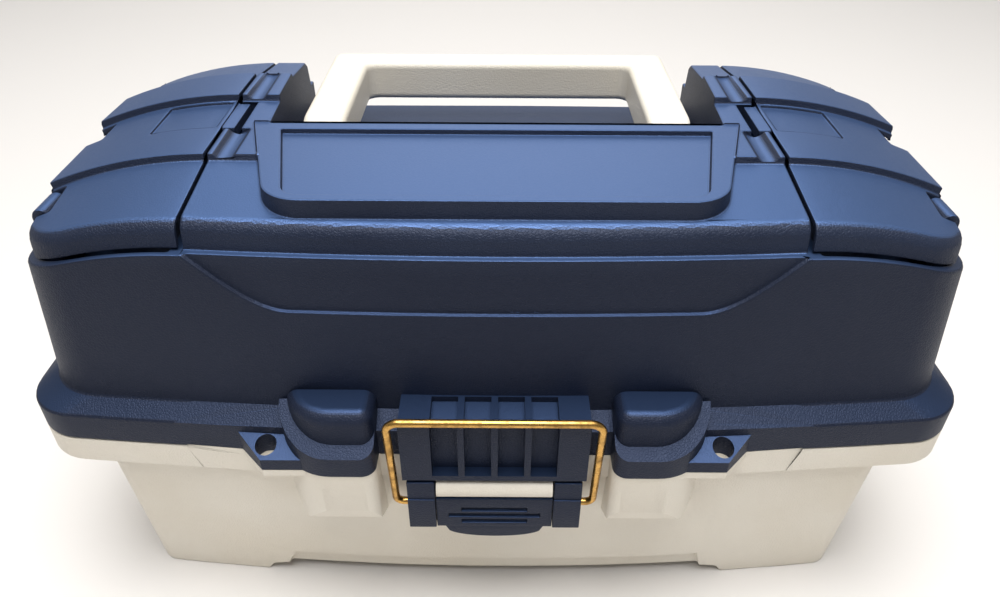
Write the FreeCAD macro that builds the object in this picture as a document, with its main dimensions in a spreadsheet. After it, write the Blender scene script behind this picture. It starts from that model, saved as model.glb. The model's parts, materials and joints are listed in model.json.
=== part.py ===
"""Two-tray tackle box with two top-access compartments, a folding handle and an over-centre latch.

Frame: +Z up, +X to the right, -Y towards the latch. The origin is on the floor,
under the middle of the whole box. The body is drawn about its own middle and every
sub-part is then moved by middle_shift, so that latch and hinges stand out alike.
"""
import FreeCAD, Part
import math
import os
import Sketcher

os.makedirs("parts", exist_ok=True)
V = FreeCAD.Vector
X_AXIS = V(1, 0, 0)
Y_AXIS = V(0, 1, 0)
Z_AXIS = V(0, 0, 1)

doc = FreeCAD.newDocument("TackleBox")
sheet = doc.addObject("Spreadsheet::Sheet", "Sizes")

# Driving dimensions in millimetres
SIZES = [
    ("rim_half_width", 181.0, "parting rim, middle to end"),
    ("rim_front", 95.5, "parting rim, middle to the front at the centre line"),
    ("rim_rear", 92.5, "parting rim, middle to the rear at the centre line"),
    ("front_bow", 9.4, "how far the front bows out over the half width"),
    ("rear_bow", 4.0, "how far the rear bows out over the half width"),
    ("rim_corner", 21.0, "plan corner radius of the rim"),
    ("parting_height", 93.0, "floor to the parting line"),
    ("parting_gap", 0.3, "gap between lid and base"),
    ("wall", 2.5, "moulded wall thickness"),
    ("overrun", 5.0, "how far cutters run past a face"),
    ("running_fit", 0.05, "radial clearance of pins and studs"),
    ("side_gap", 0.4, "gap between moving faces"),
    # Base tub
    ("skirt_height", 12.0, "rim band of the base"),
    ("tub_half_width", 157.5, "tub wall under the rim, middle to end"),
    ("tub_front", 93.6, "tub wall under the rim, middle to front"),
    ("tub_rear", 90.6, "tub wall under the rim, middle to rear"),
    ("tub_corner", 11.0, "plan corner radius of the tub wall"),
    ("foot_half_width", 156.5, "foot outline, middle to end"),
    ("foot_front", 84.5, "foot outline, middle to front"),
    ("foot_rear", 82.0, "foot outline, middle to rear"),
    ("foot_corner", 9.0, "plan corner radius at the floor"),
    ("foot_height", 6.0, "clearance under the floor between the feet"),
    ("foot_inner_half", 104.5, "middle to the inner end of a foot"),
    ("foot_sweep", 9.0, "run of the curve from foot to raised edge"),
    ("foot_side_half", 38.0, "middle to the end of the side arch"),
    ("arch_relief", 2.2, "depth of the relief over the front arch"),
    ("arch_relief_height", 17.0, "floor to the top of the relief"),
    # Lid shell
    ("band_height", 12.5, "vertical band of the lid flange"),
    ("flange_inset", 7.0, "sloped shoulder of the lid flange, across"),
    ("flange_slope", 4.5, "sloped shoulder of the lid flange, up"),
    ("lid_top_half_width", 169.5, "lid wall at the ledge, middle to end"),
    ("lid_top_front", 85.0, "lid wall at the ledge, middle to front"),
    ("lid_top_rear", 82.0, "lid wall at the ledge, middle to rear"),
    ("lid_corner", 24.0, "plan corner radius of the lid wall"),
    ("ledge_height", 173.0, "floor to the ledge beside the seam"),
    ("ledge_arch", 176.0, "arch radius of the ledge"),
    ("arch_start", 104.0, "middle to the start of the end arch"),
    ("top_arch", 165.0, "arch radius of the access lids"),
    ("seam_half", 106.0, "middle to the seam of an access lid"),
    ("seam_gap", 1.2, "open seam beside an access lid"),
    ("crest_front", 77.0, "middle to the front crest"),
    ("crest_height", 182.5, "floor to the front crest"),
    ("crest_round", 6.0, "edge radius of the crest"),
    ("crest_bow", 3.0, "how far the crest bows past its middle depth"),
    ("rear_edge", 2.6, "chamfer of the rear crest"),
    ("riser_run", 0.6, "run of a step on the top"),
    ("step_front", 40.0, "middle to the front step"),
    ("step_low", 187.6, "top of the front zone at the step"),
    ("step_high", 190.2, "top of the middle zone at the step"),
    ("band_front", -10.0, "middle to the front of the rear band"),
    ("band_low", 190.6, "top of the middle zone at the rear band"),
    ("band_high", 193.4, "top of the rear band at its front"),
    ("band_rear", 37.0, "middle to the rear of the rear band"),
    ("band_end", 192.8, "top of the rear band at its rear"),
    ("rear_low", 191.0, "top of the rear zone at the band"),
    ("crest_rear", 70.0, "middle to the rear crest"),
    ("rear_height", 186.6, "floor to the rear crest"),
    ("groove_drop", 21.0, "ledge down to the groove across the front"),
    ("groove_half", 72.0, "middle to the end of the straight groove"),
    ("groove_step", 1.5, "how far the upper front stands back of the lower"),
    ("plateau_height", 190.0, "floor to the plateau"),
    ("plateau_rear", 10.5, "middle to the plateau's rear edge, forwards"),
    ("frame_half", 95.5, "middle to the side of the label frame at the plateau's rear edge"),
    ("frame_half_front", 77.0, "middle to the side of the label frame at its front"),
    ("frame_front", 73.5, "middle to the front of the label frame"),
    ("frame_corner", 16.0, "corner radius of the label frame"),
    ("field_half", 83.5, "middle to the side of the sunken field at its rear"),
    ("field_half_front", 71.5, "middle to the side of the sunken field at its front"),
    ("field_front", 69.0, "middle to the front of the sunken field"),
    ("field_rear", 16.5, "middle to the rear of the sunken field"),
    ("field_depth", 2.2, "depth of the sunken field"),
    ("field_corner", 7.0, "corner radius of the sunken field"),
    ("recess_half", 89.0, "middle to the side of the handle recess at the plateau"),
    ("recess_flare", 4.0, "extra half width of the recess at the rear"),
    ("cheek_half", 80.0, "middle to the cheeks that carry the handle"),
    ("cheek_rear", 10.0, "middle to the rear of a cheek"),
    ("recess_floor", 160.0, "floor of the handle recess"),
    ("deep_roof", 180.0, "inside top of the sections beside the handle"),
    ("well_floor", 140.0, "inside floor of a top compartment"),
    ("lid_split", 137.5, "floor to the joint between the lid's lower and upper moulding"),
    ("well_inner", 110.0, "middle to the inner wall of a top compartment"),
    # Front bosses and padlock tabs
    ("boss_inner", 43.8, "middle to the inner face of a boss"),
    ("boss_outer", 77.0, "middle to the outer end of a boss"),
    ("boss_front", 102.0, "middle to the front of a boss"),
    ("boss_top", 119.0, "floor to the top of a boss"),
    ("boss_round", 5.0, "top edge radius of a boss"),
    ("boss_skirt_out", 4.6, "how far the lower boss stands out"),
    ("boss_skirt_width", 3.0, "how far the lower boss runs on sideways"),
    ("boss_skirt_height", 9.0, "height of the lower boss"),
    ("boss_slope", 12.0, "rise of the lower boss from its front to the lid wall"),
    ("boss_corner", 5.2, "inner corner radius of a boss"),
    ("base_boss_flat", 12.0, "flat underside of a base boss, sideways"),
    ("base_boss_low", 52.0, "floor to the underside of a base boss"),
    ("tab_inner", 68.0, "middle to the inner corner of a padlock tab"),
    ("tab_outer", 98.0, "middle to the outer corner of a padlock tab"),
    ("tab_front", 103.3, "middle to the front of a padlock tab"),
    ("tab_thick", 4.6, "front edge of the lid's padlock tab"),
    ("tab_rise", 5.2, "how much the tab's top rises to the rear"),
    ("tab_base_thick", 3.0, "padlock tab of the base"),
    ("padlock_hole", 4.0, "radius of the padlock hole"),
    ("shackle_room", 6.5, "radius of the room for a shackle under the tabs"),
    ("padlock_x", 84.8, "middle to the padlock hole"),
    ("padlock_y", 97.6, "middle to the padlock hole, forwards"),
    # Lid hinge
    ("hinge_y", 98.0, "middle to the lid hinge axis, rearwards"),
    ("hinge_barrel", 5.0, "radius of the hinge barrel"),
    ("hinge_pin", 2.0, "radius of the hinge pin"),
    ("hinge_x", 95.0, "middle to the middle of a hinge"),
    ("knuckle", 15.0, "length of a hinge knuckle"),
    ("knuckle_gap", 0.5, "gap between hinge knuckles"),
    # Access lid hinge
    ("snap_x", 163.5, "middle to the access lid's hinge axis"),
    ("snap_z", 172.0, "floor to the access lid's hinge axis"),
    ("snap_bar", 1.6, "radius of the snap hinge bar"),
    ("snap_round", 3.6, "outer radius of hooks and ears"),
    ("ear_front", 56.0, "middle to the front ear"),
    ("ear_width", 14.0, "length of an ear"),
    ("ear_root", 12.5, "how far an ear's stem reaches below the access lid"),
    ("access_wall", 2.2, "wall of an access lid"),
    ("access_gap", 0.8, "gap between access lid and ledge"),
    ("access_skirt", 163.8, "floor to the lowest edge of an access lid"),
    ("access_end", 167.0, "middle to the end wall of an access lid"),
    ("slot_middle", 4.0, "middle to the middle of the catch slot, forwards"),
    ("slot_half", 13.0, "half length of the catch slot"),
    ("slot_width", 6.5, "width of the catch slot"),
    ("slot_depth", 7.0, "depth of the catch slot"),
    ("tab_inset", 1.6, "catch tab to the side of its slot"),
    ("tab_play", 0.8, "catch tab to the end of its slot"),
    ("gutter_radius", 5.0, "radius of the finger gutter"),
    ("gutter_depth", 2.2, "depth of the finger gutter"),
    # Handle
    ("handle_half", 78.5, "middle to the outer face of the handle"),
    ("handle_arm", 17.5, "width of a handle arm"),
    ("handle_rear", 75.0, "middle to the rear of the folded handle"),
    ("grip_depth", 14.5, "width of the grip"),
    ("handle_thick", 18.0, "height of the folded handle"),
    ("handle_pivot_y", 1.5, "middle to the handle pivot"),
    ("handle_pivot_z", 180.5, "floor to the handle pivot"),
    ("stud", 3.5, "radius of a handle stud"),
    ("stud_length", 4.0, "how far a handle stud enters its socket"),
    ("handle_round", 3.0, "edge radius of the handle"),
    ("handle_corner", 4.5, "rear corner radius of the handle"),
    # Latch
    ("catch_half", 34.5, "middle to the end of the catch"),
    ("catch_block", 11.3, "width of the catch's end blocks"),
    ("catch_front", 103.4, "middle to the front of the catch"),
    ("catch_top", 117.0, "floor to the top of the catch"),
    ("catch_edge", 115.5, "floor to the front edge of the catch"),
    ("catch_low", 88.0, "floor to the underside of the catch"),
    ("catch_back", 96.6, "middle to the back of the catch under the rim"),
    ("catch_rib", 2.4, "width of the catch's ribs"),
    ("window_depth", 4.5, "depth of the catch's windows"),
    ("lever_pivot_y", 100.5, "middle to the lever pivot, forwards"),
    ("lever_pivot_z", 82.0, "floor to the lever pivot"),
    ("lever_half", 33.4, "middle to the outer face of the lever"),
    ("lever_arm", 11.0, "width of a lever arm"),
    ("lever_front", 104.0, "middle to the front of the lever"),
    ("lever_low", 61.0, "floor to the end of the lever arms"),
    ("lever_panel_top", 77.5, "floor to the top of the grip panel"),
    ("lever_panel", 4.0, "thickness of the grip panel"),
    ("lip_drop", 7.0, "how far the lip hangs below the lever"),
    ("lip_half", 19.5, "half width of the lip"),
    ("lug_round", 4.2, "radius of the lever lug"),
    ("lever_stud", 2.0, "radius of a lever stud"),
    ("lever_stud_length", 5.0, "length of a lever stud"),
    ("bail_pivot_y", 97.5, "middle to the bail pivot, forwards"),
    ("bail_pivot_z", 69.5, "floor to the bail pivot"),
    ("bail_half", 38.4, "middle to the middle of a bail leg"),
    ("bail_bar_y", 104.9, "middle to the bail's bar, forwards"),
    ("bail_bar_z", 119.35, "floor to the bail's bar"),
    ("bail_wire", 1.5, "radius of the bail wire"),
    ("bail_bend", 5.0, "bend radius of the bail wire"),
    ("bail_hold", 6.5, "how far the bail enters a lever arm"),
    # Trays and arms
    ("tray_half", 144.5, "middle to the end of a tray"),
    ("tray_front", 75.0, "middle to the front of a tray"),
    ("tray_rear", 60.0, "middle to the rear of a tray"),
    ("tray_height", 34.0, "height of a tray"),
    ("tray_wall", 1.8, "wall of a tray"),
    ("tray_corner", 6.0, "plan corner radius of a tray"),
    ("lower_tray_base", 57.0, "floor to the underside of the lower tray"),
    ("tray_gap", 3.0, "gap between the closed trays"),
    ("divider", 1.4, "thickness of a divider"),
    ("divider_fit", 0.2, "play of a divider in its ribs"),
    ("divider_rib", 1.6, "size of a divider rib"),
    ("arm_thick", 2.0, "thickness of a cantilever arm"),
    ("arm_width", 9.0, "width of a cantilever arm"),
    ("arm_gap", 1.2, "gap beside a cantilever arm"),
    ("arm_pitch", 50.0, "pivot spacing along an arm"),
    ("arm_angle", 15.0, "rise of a folded arm, in degrees"),
    ("arm_base_y", 70.0, "middle to the rear base pivot"),
    ("arm_base_z", 74.0, "floor to the base pivots"),
    ("arm_offset", 38.0, "rear arm to front arm"),
    ("rivet", 2.4, "radius of a rivet shank"),
    ("rivet_head", 3.9, "radius of a rivet head"),
    ("rivet_head_thick", 0.9, "thickness of a rivet head"),
]
for row, (name, value, note) in enumerate(SIZES, start=1):
    sheet.set(f"A{row}", name)
    sheet.set(f"B{row}", str(value))
    sheet.set(f"C{row}", note)
    sheet.setAlias(f"B{row}", name)
doc.recompute()


def size(name):
    """Value of one cell of the sheet."""
    return float(sheet.get(name))


# Places that follow from the driving dimensions
parting = size("parting_height")
wall = size("wall")
overrun = size("overrun")
fit = size("running_fit")
gap = size("side_gap")
lid_base = parting + size("parting_gap")
half_wall = wall / 2
front_reach = size("boss_front") + size("boss_skirt_out")
rear_reach = size("hinge_y") + size("hinge_barrel")
middle_shift = (front_reach - rear_reach) / 2
SHIFT = V(0, middle_shift, 0)
sub_parts = []


def keep(item, label):
    """Names a sub-part, moves it to the frame of the whole box and lists it."""
    item.Label = label
    item.Placement = FreeCAD.Placement(SHIFT, FreeCAD.Rotation())
    sub_parts.append(item)
    return item


def keep_shape(label, shape):
    """Makes a sub-part from a finished shape."""
    item = doc.addObject("Part::Feature", label)
    item.Shape = shape
    return keep(item, label)


def block(x0, x1, y0, y1, z0, z1):
    """Box between two corners."""
    return Part.makeBox(x1 - x0, y1 - y0, z1 - z0, V(x0, y0, z0))


def round_bar(radius, start, end):
    """Cylinder from one point to another."""
    return Part.makeCylinder(radius, (end - start).Length, start, end - start)


def face_of(points):
    """Flat face inside a closed row of points."""
    return Part.Face(Part.makePolygon(list(points) + [points[0]]))


def side_profile(points, x0, x1):
    """Solid along X from a (y, z) outline."""
    return face_of([V(x0, y, z) for y, z in points]).extrude(V(x1 - x0, 0, 0))


def front_profile(points, y0, y1):
    """Solid along Y from an (x, z) outline."""
    return face_of([V(x, y0, z) for x, z in points]).extrude(V(0, y1 - y0, 0))


def plan_profile(points, z0, z1):
    """Solid along Z from an (x, y) outline."""
    return face_of([V(x, y, z0) for x, y in points]).extrude(V(0, 0, z1 - z0))


def mirrored(shape):
    """The same shape on the left side."""
    return shape.mirror(V(0, 0, 0), X_AXIS)


def both_sides(shape):
    """The shape and its mirror image."""
    return [shape, mirrored(shape)]


def corner_touch(half_width, edge, bow, corner):
    """Bow centre, bow radius, corner centre and touching point of a bowed edge (edge > 0)."""
    bow_radius = (half_width ** 2 + bow ** 2) / (2 * bow)
    bow_centre = edge - bow_radius
    reach = bow_radius - corner
    corner_y = bow_centre + math.sqrt(reach ** 2 - (half_width - corner) ** 2)
    grow = bow_radius / reach
    touch = ((half_width - corner) * grow, bow_centre + (corner_y - bow_centre) * grow)
    return corner_y, touch


def rim_wire(half_width, front, rear, corner, z):
    """Plan outline at one height: bowed front and rear, round corners, straight ends."""
    front_y, front_touch = corner_touch(half_width, front, size("front_bow"), corner)
    rear_y, rear_touch = corner_touch(half_width, rear, size("rear_bow"), corner)
    diagonal = corner * math.sqrt(0.5)
    middle_x = half_width - corner + diagonal
    start = V(-front_touch[0], -front_touch[1], z)
    front_mid = V(0, -front, z)
    right = V(front_touch[0], -front_touch[1], z)
    right_mid = V(middle_x, -front_y - diagonal, z)
    right_low = V(half_width, -front_y, z)
    right_high = V(half_width, rear_y, z)
    rear_right_mid = V(middle_x, rear_y + diagonal, z)
    rear_right = V(rear_touch[0], rear_touch[1], z)
    rear_mid = V(0, rear, z)
    rear_left = V(-rear_touch[0], rear_touch[1], z)
    rear_left_mid = V(-middle_x, rear_y + diagonal, z)
    left_high = V(-half_width, rear_y, z)
    left_low = V(-half_width, -front_y, z)
    left_mid = V(-middle_x, -front_y - diagonal, z)
    edges = [
        Part.Arc(start, front_mid, right).toShape(),
        Part.Arc(right, right_mid, right_low).toShape(),
        Part.LineSegment(right_low, right_high).toShape(),
        Part.Arc(right_high, rear_right_mid, rear_right).toShape(),
        Part.Arc(rear_right, rear_mid, rear_left).toShape(),
        Part.Arc(rear_left, rear_left_mid, left_high).toShape(),
        Part.LineSegment(left_high, left_low).toShape(),
        Part.Arc(left_low, left_mid, start).toShape(),
    ]
    return Part.Wire(edges)


def prism(outline, inset, z0, z1):
    """Upright solid on a rim outline (half width, front, rear, corner), drawn in by inset."""
    half_width, front, rear, corner = outline
    wire = rim_wire(half_width - inset, front - inset, rear - inset, corner, z0)
    return Part.Face(wire).extrude(V(0, 0, z1 - z0))


def tapered(low, high, inset, z0, z1):
    """Solid between two rim outlines."""
    wires = []
    for outline, z in ((low, z0), (high, z1)):
        half_width, front, rear, corner = outline
        wires.append(rim_wire(half_width - inset, front - inset, rear - inset, corner, z))
    return Part.makeLoft(wires, True, True)


def between(low, high, share):
    """Outline part of the way from one to another."""
    return tuple(a + (b - a) * share for a, b in zip(low, high))


def sized(*names):
    """Several sizes at once."""
    return tuple(size(name) for name in names)


rim = sized("rim_half_width", "rim_front", "rim_rear", "rim_corner")
tub = sized("tub_half_width", "tub_front", "tub_rear", "tub_corner")
foot = sized("foot_half_width", "foot_front", "foot_rear", "foot_corner")
lid_top = sized("lid_top_half_width", "lid_top_front", "lid_top_rear", "lid_corner")
inset = size("flange_inset")
lid_foot = (rim[0] - inset, rim[1] - inset, rim[2] - inset, size("lid_corner"))
skirt_low = parting - size("skirt_height")
band_top = parting + size("band_height")
lid_wall_base = band_top + size("flange_slope")


def boss_plan(extra_width, extra_front, back, z0, z1):
    """Right boss in plan: square inner end, rounded outer end."""
    inner = size("boss_inner")
    outer = size("boss_outer") + extra_width
    front = size("boss_front") + extra_front
    turn_share = 0.45
    turn = inner + (outer - inner) * turn_share
    across = outer - turn
    deep = front - back
    radius = (across ** 2 + deep ** 2) / (2 * deep)
    sweep = math.atan2(across, radius - deep)
    mid_x = turn + radius * math.sin(sweep / 2)
    mid_y = front - radius + radius * math.cos(sweep / 2)
    corner = size("boss_corner")
    mitre = corner * (1 - math.sqrt(0.5))
    edges = [
        Part.LineSegment(V(inner, -back, z0), V(inner, corner - front, z0)).toShape(),
        Part.Arc(V(inner, corner - front, z0), V(inner + mitre, mitre - front, z0),
                 V(inner + corner, -front, z0)).toShape(),
        Part.LineSegment(V(inner + corner, -front, z0), V(turn, -front, z0)).toShape(),
        Part.Arc(V(turn, -front, z0), V(mid_x, -mid_y, z0), V(outer, -back, z0)).toShape(),
        Part.LineSegment(V(outer, -back, z0), V(inner, -back, z0)).toShape(),
    ]
    return Part.Face(Part.Wire(edges)).extrude(V(0, 0, z1 - z0))


def tab_outline():
    """Right padlock tab in plan."""
    inner, outer, front = sized("tab_inner", "tab_outer", "tab_front")
    back = size("rim_front") - size("front_bow") / 2
    slant_share = 0.4
    slant = (outer - inner) * slant_share
    return [(inner + slant, -back), (inner, -front), (outer - slant, -front), (outer, -back)]


def barrel(side, first, z0, z1):
    """Hinge knuckles of one leaf: every other knuckle, with webs to the rim."""
    pitch = size("knuckle") + size("knuckle_gap")
    shapes = []
    axis_y = size("hinge_y")
    for index in range(first, 3, 2):
        x0 = side * size("hinge_x") - pitch * 1.5 + size("knuckle_gap") / 2 + index * pitch
        x1 = x0 + size("knuckle")
        ring = round_bar(size("hinge_barrel"), V(x0, axis_y, parting), V(x1, axis_y, parting))
        web = block(x0, x1, size("rim_rear") - size("rear_bow"), axis_y, z0, z1)
        shapes += [ring, web]
    return shapes


def pin_bore(side):
    """Bore through all the knuckles of one hinge."""
    reach = 1.5 * (size("knuckle") + size("knuckle_gap")) + overrun
    middle = side * size("hinge_x")
    radius = size("hinge_pin") + fit
    axis_y = size("hinge_y")
    return round_bar(radius, V(middle - reach, axis_y, parting), V(middle + reach, axis_y, parting))


# Base tub
def base_tub():
    skirt_inner = wall
    shell = tapered(foot, tub, 0, 0, skirt_low)
    neck = prism(tub, 0, skirt_low, parting)
    rim_ring = prism(rim, 0, skirt_low, parting)
    rim_ring = rim_ring.cut(prism(rim, skirt_inner, skirt_low - overrun, parting - wall))
    boss_shapes = []
    back = size("foot_front")
    low = size("base_boss_low")
    boss = boss_plan(size("boss_skirt_width"), size("boss_skirt_out") - gap, back, low, parting)
    centre_x = size("boss_inner") + size("base_boss_flat")
    across = size("boss_outer") + size("boss_skirt_width") - centre_x
    bowl = [(size("boss_inner"), parting)]
    for step in range(13):
        turn = math.pi / 24 * step
        bowl.append((centre_x + across * math.cos(turn), parting - (parting - low) * math.sin(turn)))
    bowl.append((size("boss_inner"), low))
    boss_shapes += both_sides(boss.common(front_profile(bowl, -rim[1] - overrun * 4, -back)))
    solid = shell.fuse([neck, rim_ring] + boss_shapes)
    # The bosses round off below
    drop = parting - low
    round_share = 0.55
    toe_share = 0.1
    knee_share = 0.6
    front = front_reach
    cutter_points = [(-front - overrun, low - overrun), (-back, low - overrun), (-back, low),
                     (-front + drop * toe_share, low + drop * round_share * knee_share),
                     (-front, low + drop * round_share), (-front - overrun, low + drop * round_share)]
    for side in (1, -1):
        x0 = side * size("boss_inner")
        x1 = side * (size("boss_outer") + size("boss_skirt_width") + overrun)
        cutter = side_profile(cutter_points, min(x0, x1) - gap, max(x0, x1) + gap)
        solid = solid.cut(cutter.cut(tapered(foot, tub, 0, 0, skirt_low).fuse(neck)))
    # Room inside
    floor = size("foot_height") + wall
    low_inner = between(foot, tub, floor / skirt_low)
    solid = solid.cut(tapered(low_inner, tub, wall, floor, skirt_low))
    solid = solid.cut(prism(tub, wall, skirt_low, parting + overrun))
    # Arches between the feet
    half, sweep, rise = sized("foot_inner_half", "foot_sweep", "foot_height")
    arch_share = 0.75
    arch = [(-half, -overrun), (-half, 0), (-half + sweep / 3, rise * arch_share), (-half + sweep, rise),
            (half - sweep, rise), (half - sweep / 3, rise * arch_share), (half, 0), (half, -overrun)]
    solid = solid.cut(front_profile(arch, -foot[1] - overrun, foot[2] + overrun))
    side = size("foot_side_half")
    side_arch = [(-side, -overrun), (-side, 0), (-side + sweep, rise), (side - sweep, rise),
                 (side, 0), (side, -overrun)]
    solid = solid.cut(side_profile(side_arch, -foot[0] - overrun, foot[0] + overrun))
    # Relief over the front arch
    relief_top = size("arch_relief_height")
    relief_outer = tapered(foot, tub, -overrun, 0, skirt_low)
    relief_inner = tapered(foot, tub, size("arch_relief"), 0, skirt_low)
    skin = relief_outer.cut(relief_inner)
    relief_share = 1.6
    high = half - sweep * relief_share
    front_zone = front_profile([(-half + sweep, 0), (half - sweep, 0), (high, relief_top), (-high, relief_top)],
                               -rim[1], -foot[1] / 2)
    solid = solid.cut(skin.common(front_zone))
    # Padlock tabs
    thick = size("tab_base_thick")
    for tab in both_sides(plan_profile(tab_outline(), parting - thick, parting)):
        solid = solid.fuse(tab)
    for hole in both_sides(round_bar(size("padlock_hole"),
                                     V(size("padlock_x"), -size("padlock_y"), skirt_low - overrun),
                                     V(size("padlock_x"), -size("padlock_y"), parting + overrun))):
        solid = solid.cut(hole)
    for room in both_sides(round_bar(size("shackle_room"),
                                     V(size("padlock_x"), -size("padlock_y"), low - overrun),
                                     V(size("padlock_x"), -size("padlock_y"), parting - thick))):
        solid = solid.cut(room.cut(block(-rim[0], rim[0], -rim[1] + size("front_bow") / 2, 0, 0, parting)))
    # Lug for the latch lever
    inner = size("lever_half") - size("lever_arm") - gap
    pivot = V(0, -size("lever_pivot_y"), size("lever_pivot_z"))
    lug_round = size("lug_round")
    lug = round_bar(lug_round, pivot - V(inner, 0, 0), pivot + V(inner, 0, 0))
    lug_web = block(-inner, inner, pivot.y, -tub[1] + half_wall, pivot.z - lug_round, pivot.z + lug_round)
    solid = solid.fuse([lug, lug_web])
    depth = size("lever_stud_length") + gap
    for x in (-inner, inner - depth):
        solid = solid.cut(round_bar(size("lever_stud") + fit, pivot + V(x, 0, 0), pivot + V(x + depth, 0, 0)))
    # Hinge leaves and the bosses that carry the cantilever arms
    for side in (1, -1):
        solid = solid.fuse(barrel(side, 0, parting - size("hinge_barrel"), parting))
        solid = solid.cut(pin_bore(side))
    for y in (arm_base_y, arm_base_y - size("arm_offset")):
        start = V(arm_outer + arm_side_gap, y, size("arm_base_z"))
        post = round_bar(size("arm_width") / 2, start, V(tub[0] - half_wall, y, start.z))
        hole = round_bar(size("rivet"), start - V(overrun, 0, 0), start + V(rivet_grip, 0, 0))
        for shape in both_sides(post):
            solid = solid.fuse(shape)
        for shape in both_sides(hole):
            solid = solid.cut(shape)
    return solid.removeSplitter()


# Places of the cantilever gear
arm_inner = size("tray_half") + size("arm_gap")
arm_outer = arm_inner + size("arm_thick")
arm_side_gap = size("arm_gap") / 2
grip_share = 1.4
rivet_grip = size("wall") * grip_share
arm_base_y = size("arm_base_y")
arm_rise = math.radians(size("arm_angle"))
arm_step = V(0, -size("arm_pitch") * math.cos(arm_rise), size("arm_pitch") * math.sin(arm_rise))
rear_arm_pivots = [V(0, arm_base_y, size("arm_base_z")) + arm_step * count for count in range(3)]
front_arm_pivots = [point - V(0, size("arm_offset"), 0) for point in rear_arm_pivots]


# Lid shell
groove_z = size("ledge_height") - size("groove_drop")
groove_share = (groove_z - lid_wall_base) / (size("ledge_height") - lid_wall_base)
groove_outline = between(lid_foot, lid_top, groove_share)
crest = (size("access_end"), size("crest_front") + size("crest_bow"), size("crest_rear") + size("crest_bow"),
         lid_top[3])
ceiling = size("band_high") + overrun


def crown(inset):
    """Full outline above the groove, leaning in to the crest and upright from there."""
    set_back = size("groove_step") + inset
    lean_top = size("crest_height") + overrun
    lean = tapered(groove_outline, crest, set_back, groove_z, lean_top)
    return lean.fuse(prism(crest, set_back, lean_top, ceiling + overrun))


def crest_edges(shape, start_x):
    """Edges along the front crest of a solid, from start_x outwards on both sides."""
    found = []
    for edge in shape.Edges:
        box = edge.BoundBox
        middle = edge.valueAt((edge.FirstParameter + edge.LastParameter) / 2)
        long_enough = edge.Length > size("crest_round")
        in_front = middle.y < -size("step_front") - overrun and box.YMin < -size("step_front") - size("crest_round")
        on_top = middle.z > size("snap_z") and box.ZMin > size("access_skirt") + size("crest_round") / 2
        flat = box.YLength < box.XLength
        if long_enough and in_front and on_top and flat and abs(middle.x) >= start_x:
            found.append(edge)
    return found


def top_line(drop):
    """Top of the box from front to rear as (y, z) points, lowered by drop."""
    edge = size("rear_edge")
    riser = size("riser_run")
    rear = size("crest_rear")
    fall = (size("step_low") - size("crest_height")) / (size("crest_front") - size("step_front"))
    points = [
        (-rim[1], size("crest_height") - fall * (rim[1] - size("crest_front"))),
        (-size("step_front"), size("step_low")),
        (-size("step_front") + riser, size("step_high")),
        (-size("band_front") - riser, size("band_low")),
        (-size("band_front"), size("band_high")),
        (size("band_rear"), size("band_end")),
        (size("band_rear") + riser, size("rear_low")),
        (rear - edge, size("rear_height")),
        (rear + edge * 2, size("rear_height") - edge * 2),
        (rim[2], size("rear_height") - edge * 4),
    ]
    return [(y, z - drop) for y, z in points]


def under_top(drop, low):
    """Outline (y, z) of everything between a low level and the top line."""
    return [(-rim[1], low)] + top_line(drop) + [(rim[2], low)]


def arched(outline, reach):
    """Sweeps a (y, z) outline outwards over the end arch."""
    radius = size("top_arch")
    centre = V(size("arch_start"), 0, size("band_low") - radius)
    face = face_of([V(size("arch_start"), y, z) for y, z in outline])
    return face.revolve(centre, Y_AXIS, math.degrees(math.asin(reach / radius)))


def ledge_drum(rise):
    """Everything below the arched ledge, raised by rise."""
    axis = V(size("arch_start"), -rim[1] - overrun, size("ledge_height") - size("ledge_arch"))
    return Part.makeCylinder(size("ledge_arch") + rise, rim[1] + rim[2] + 2 * overrun, axis, Y_AXIS)


def groove_zone():
    """Front area above the groove as an (x, z) outline, with the S-curves at its ends."""
    half = size("groove_half")
    end = size("seam_half") - size("seam_gap")
    rise = size("groove_drop")
    steps = 12
    curve_share = 0.9
    shares = [count / steps for count in range(steps + 1)]
    right = [(half + (end - half) * share, groove_z + rise * (1 - math.cos(math.pi / 2 * share)) ** curve_share)
             for share in shares]
    left = [(-x, z) for x, z in right]
    top = size("ledge_height") + overrun
    return right + [(end, top), (-end, top)] + left[::-1]


def rounded_panel(rear_half, front_half, front, rear, corner, z0, z1):
    """Panel in plan, narrower at the front, with round front corners."""
    panel = plan_profile([(-front_half, -front), (front_half, -front), (rear_half, -rear), (-rear_half, -rear)], z0, z1)
    edges = [edge for edge in panel.Edges
             if edge.BoundBox.ZLength > (z1 - z0) / 2 and edge.BoundBox.YMax < -(front + rear) / 2]
    return panel.makeFillet(corner, edges)


def upper_edges(shape, z, front):
    """Edges at height z that lie outside the wall."""
    return [edge for edge in shape.Edges
            if edge.BoundBox.ZMin > z - half_wall / 10 and edge.BoundBox.YMin < -front]


def lid_bosses():
    """Bosses beside the latch, each on a wider skirt with a sloping shoulder."""
    back = size("lid_top_front") + wall
    skirt_top = lid_base + size("boss_skirt_height")
    top = size("boss_top")
    upper = boss_plan(0, 0, back, skirt_top - wall, top)
    upper = upper.makeFillet(size("boss_round"), upper_edges(upper, top, back + half_wall))
    rise = size("boss_slope")
    lower = boss_plan(size("boss_skirt_width"), size("boss_skirt_out"), back, lid_base, skirt_top + rise)
    front = size("boss_front") + size("boss_skirt_out")
    slope = [(-front, lid_base), (-front, skirt_top), (-back, skirt_top + rise), (-back, lid_base)]
    return upper, lower.common(side_profile(slope, 0, rim[0]))


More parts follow.
